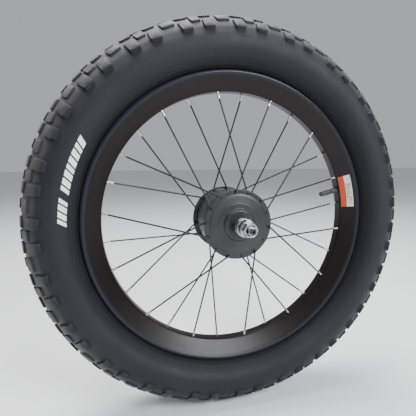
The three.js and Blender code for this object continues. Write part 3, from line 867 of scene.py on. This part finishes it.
def build_hub_shell(paints):
    """The casting: its near end wall, the barrel with a groove, and both flanges with their holes."""
    inner = FLANGE_Y - FLANGE_HALF
    outer = FLANGE_Y + FLANGE_HALF
    outline = end_wall(-1) + [(41.0, -38.6, 0.8), (43.0, -outer, 0.8)]
    outline += [(FLANGE_R, -outer, 0.9), (FLANGE_R, -inner, 0.9), (SHELL_R + 1.6, -inner, 1.4)]
    outline += [(SHELL_R, -inner + 2.4, 2.0), (SHELL_R, -13.0, 0.3), (SHELL_R - 0.6, -12.4, 0.3)]
    outline += [(SHELL_R - 0.6, -11.4, 0.3), (SHELL_R, -10.8, 0.3)]
    outline += [(SHELL_R, inner - 2.4, 2.0), (SHELL_R + 1.6, inner, 1.4), (FLANGE_R, inner, 0.9)]
    outline += [(FLANGE_R, outer, 0.9), (41.2, outer, 0.4), (41.2, -35.2, 0.6)]
    shell = lathe("hub_shell_casting", rounded(outline, 0.5, 4), [paints["shell_black"]], 168)
    reach = Vector((0, 5, 0))
    holes = [(hole - reach, hole + reach, 1.45) for _, _, hole, _, _ in spoke_lines()]
    cut_holes(shell, holes)
    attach(shell, "wheel")
    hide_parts("hub_shell")


def build_side_cover(paints):
    """The cover screwed into the shell's far end, with six holes for a pin spanner."""
    outer = FLANGE_Y + FLANGE_HALF
    outline = end_wall(1) + [(41.2, 39.0, 0.8), (43.0, 38.6, 0.6), (43.0, outer + 0.3, 0.3)]
    outline += [(40.9, outer + 0.3, 0.3), (40.9, 34.2, 0.4), (14.3, 34.2, 0.4)]
    cover = lathe("side_cover_disc", rounded(outline, 0.4, 4), [paints["shell_black"]], 144)
    holes = []
    for i in range(6):
        at = polar(32, 60 * i + 30)
        holes.append((at + Vector((0, outer - 0.4, 0)), at + Vector((0, END_FACE_Y, 0)), 2.5))
    cut_holes(cover, holes)
    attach(cover, "wheel")
    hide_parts("side_cover")


def build_seals(paints):
    """A rubber lip seal in the mouth of each end of the hub, around the spacer."""
    for label, sign in (("left", -1), ("right", 1)):
        section = [(7.4, 42.6), (9.7, 42.6), (9.7, 43.6), (8.6, 43.9), (7.4, 43.4)]
        outline = rounded([(r, sign * y) for r, y in section], 0.25, 3)
        seal = lathe(f"{label}_lip_seal", outline, [paints["soft_rubber"]], 96)
        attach(seal, "wheel")


# ---- axle ----------------------------------------------------------------------------------

def threaded_end(label, sign, end, paints):
    """The threaded end of the axle with its two flats and a chamfered tip."""
    sides = 72
    start = AXLE_SHOULDER_Y + 0.2
    rows = int((end - start) / THREAD_PITCH * 8)
    verts = []
    for i in range(rows + 1):
        y = start + (end - start) * i / rows
        tip = max(0.0, y - (end - 1.2))
        for j in range(sides):
            turn = 2 * math.pi * j / sides
            phase = (y / THREAD_PITCH + j / sides) % 1.0
            radius = THREAD_R - 0.62 * abs(2 * phase - 1) - tip * 0.8
            x = max(-FLAT_HALF, min(FLAT_HALF, radius * math.cos(turn)))
            verts.append(Vector((x, sign * y, radius * math.sin(turn))))
    faces = grid_faces(rows + 1, sides, False)
    close_ends(faces, rows + 1, sides)
    piece = make_object(f"axle_thread_{label}", verts, faces, [paints["axle_steel"]], 30)
    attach(piece, "axle_assembly")
    return piece


def build_axle(paints):
    """The plain middle of the axle and its two threaded ends, the left one bored for the lead."""
    left_end = AXLE_END_Y - 3.0
    left = threaded_end("left", -1, left_end, paints)
    threaded_end("right", 1, AXLE_END_Y, paints)
    cut_holes(left, [(Vector((0, -left_end - 2, 0)), Vector((0, 24 - left_end, 0)), 3.0)])
    shaft = [
        (0.4, -AXLE_SHOULDER_Y), (6.6, -AXLE_SHOULDER_Y), (7.0, -45.6), (7.0, 45.6),
        (6.6, AXLE_SHOULDER_Y), (0.4, AXLE_SHOULDER_Y),
    ]
    steel = [paints["axle_steel"]]
    middle = along_axis("axle_middle", Vector((0, 0, 0)), Vector((0, 1, 0)), shaft, steel, 64)
    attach(middle, "axle_assembly")
    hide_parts("axle")


def build_spacer(label, sign, paints):
    """A turned spacer with a groove, between the axle's shoulder and the fork end."""
    section = [
        (6.3, 46.3), (9.0, 46.3), (9.4, 47.0), (9.4, 51.5), (13.0, 55.0), (13.0, 60.6),
        (12.5, 61.1), (12.5, 62.1), (13.0, 62.6), (13.0, 66.6), (12.0, DROPOUT_FACE_Y),
        (6.3, DROPOUT_FACE_Y),
    ]
    outline = rounded([(r, sign * y) for r, y in section], 0.35, 3)
    spacer = lathe(f"{label}_spacer_turned", outline, [paints["axle_steel"]], 96)
    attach(spacer, "axle_assembly")
    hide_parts(f"{label}_spacer")


def hexagon(across_flats, turn):
    """The radius of a hexagon at an angle in degrees."""
    return across_flats / 2 / math.cos(math.radians((turn + 30) % 60 - 30))


def nut_section(turn):
    """The nut's section at an angle, as (radius, height): bore, collar face, flats and chamfer."""
    edge = hexagon(NUT_FLATS, turn + 30)
    return [
        (6.25, 0.0), (9.2, 0.0), (9.2, 0.7), (edge, 0.7), (edge, NUT_HIGH - 1.3),
        (min(edge, 8.9), NUT_HIGH), (7.4, NUT_HIGH), (6.25, NUT_HIGH - 1.0),
    ]


def build_nut(label, sign, paints):
    """A hex nut with chamfered corners and a round collar face."""
    start = DROPOUT_FACE_Y + SLOT + WASHER_THICK + 0.3
    sides = 144
    verts = []
    for i in range(sides):
        turn = 360 * i / sides
        verts.extend(polar(r, turn, sign * (start + y)) for r, y in nut_section(turn))
    faces = grid_faces(sides, len(nut_section(0)), True)
    nut = make_object(f"{label}_nut_hex", verts, faces, [paints["zinc"]], 30)
    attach(nut, "axle_assembly")
    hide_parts(f"{label}_axle_nut")


def build_tab_washer(label, sign, paints):
    """A pressed washer with a rounded edge, and the tab that hooks into the fork end."""
    start = DROPOUT_FACE_Y + SLOT
    end = start + WASHER_THICK
    section = [(6.3, start), (11.0, start), (11.0, end), (6.3, end)]
    outline = rounded([(r, sign * y) for r, y in section], 0.5, 3)
    plate = lathe(f"{label}_washer_plate", outline, [paints["zinc"]], 96)
    tab = [(-2.5, 8.2), (2.5, 8.2), (2.2, 11.6), (1.6, 12.0), (-1.6, 12.0), (-2.2, 11.6)]
    verts = [Vector((x, sign * y, z)) for y in (start - 3.9, start + 0.6) for x, z in tab]
    faces = grid_faces(2, len(tab), False)
    close_ends(faces, 2, len(tab))
    hook = make_object(f"{label}_washer_tab", verts, faces, [paints["zinc"]], 30)
    for piece in (plate, hook):
        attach(piece, "axle_assembly")
    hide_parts(f"{label}_tab_washer")


def build_grommet(paints):
    """The rubber sleeve and flange in the bored end of the axle."""
    end = -AXLE_END_Y
    outline = [
        (1.7, end, 0.3), (3.7, end, 0.8), (4.4, end + 1.0, 0.5), (4.4, end + 2.7, 0.3),
        (2.7, end + 2.7, 0.3), (2.7, end + 14.0, 0.3), (1.7, end + 14.0, 0.3),
    ]
    grommet = lathe("lead_grommet_rubber", rounded(outline, 0.3, 4), [paints["soft_rubber"]], 64)
    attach(grommet, "axle_assembly")
    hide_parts("lead_grommet")


def build_axle_hardware(paints):
    for label, sign in (("left", -1), ("right", 1)):
        build_spacer(label, sign, paints)
        build_tab_washer(label, sign, paints)
        build_nut(label, sign, paints)
    build_grommet(paints)


def paint_kept_nodes(paints):
    """The pieces inside the hub and the tyre keep their shape and get their material."""
    slots = {row["node"]: row["material_slot"] for row in frame["record"]["subparts"]}
    for name, obj in frame["nodes"].items():
        paint = paints.get(slots.get(name), paints["label_white"])
        for i in range(len(obj.material_slots)):
            obj.material_slots[i].material = paint


# ---- stage ---------------------------------------------------------------------------------

def build_floor():
    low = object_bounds()[0]
    bpy.ops.mesh.primitive_plane_add(size=40, location=(0, 0, low[2] - 0.0004))
    floor = bpy.context.object
    floor.name = "floor"
    paint = Paint("studio floor", (0.76, 0.76, 0.77), 0.8)
    paint.tint((0.72, 0.72, 0.73), paint.noise(3, low=0.0, high=0.6))
    floor.data.materials.append(paint.material)


def area_light(name, place, power, size, color=(1, 1, 1)):
    """A rectangular light aimed at the wheel's centre."""
    data = bpy.data.lights.new(name, "AREA")
    data.shape = "RECTANGLE"
    data.size, data.size_y = size
    data.energy = power
    data.color = color
    light = bpy.data.objects.new(name, data)
    light.location = place
    light.rotation_euler = (-Vector(place)).to_track_quat("-Z", "Y").to_euler()
    bpy.context.scene.collection.objects.link(light)


def build_lights():
    area_light("overhead", (-0.2, 0.35, 1.9), 95, (1.9, 1.2))
    area_light("front_right", (0.85, -1.45, 1.12), 60, (1.1, 0.6), (0.95, 0.98, 1.0))
    area_light("front_left", (-1.8, -1.7, 0.9), 3, (1.2, 1.2), (0.95, 0.97, 1.0))
    world = bpy.data.worlds.new("studio")
    world.use_nodes = True
    background = world.node_tree.nodes["Background"]
    background.inputs["Color"].default_value = (0.92, 0.95, 1.0, 1)
    background.inputs["Strength"].default_value = 0.48
    bpy.context.scene.world = world


def build_camera():
    azimuth = math.radians(AZIMUTH)
    elevation = math.radians(ELEVATION)
    level = math.cos(elevation)
    away = Vector((math.sin(azimuth) * level, -math.cos(azimuth) * level, math.sin(elevation)))
    target = Vector(TARGET) * MM
    data = bpy.data.cameras.new("camera")
    data.lens = LENS
    data.shift_x, data.shift_y = SHIFT
    camera = bpy.data.objects.new("camera", data)
    camera.location = target + away * DISTANCE * MM
    look = (-away).to_track_quat("-Z", "Y")
    camera.rotation_euler = (look @ Quaternion((0, 0, 1), math.radians(-ROLL))).to_euler()
    bpy.context.scene.collection.objects.link(camera)
    bpy.context.scene.camera = camera


build_camera()
build_lights()
paints = make_paints()
paint_kept_nodes(paints)
build_tyre(paints)
build_rim(paints)
build_valve(paints)
build_spokes(paints)
build_hub_shell(paints)
build_side_cover(paints)
build_seals(paints)
build_axle(paints)
build_axle_hardware(paints)
build_floor()
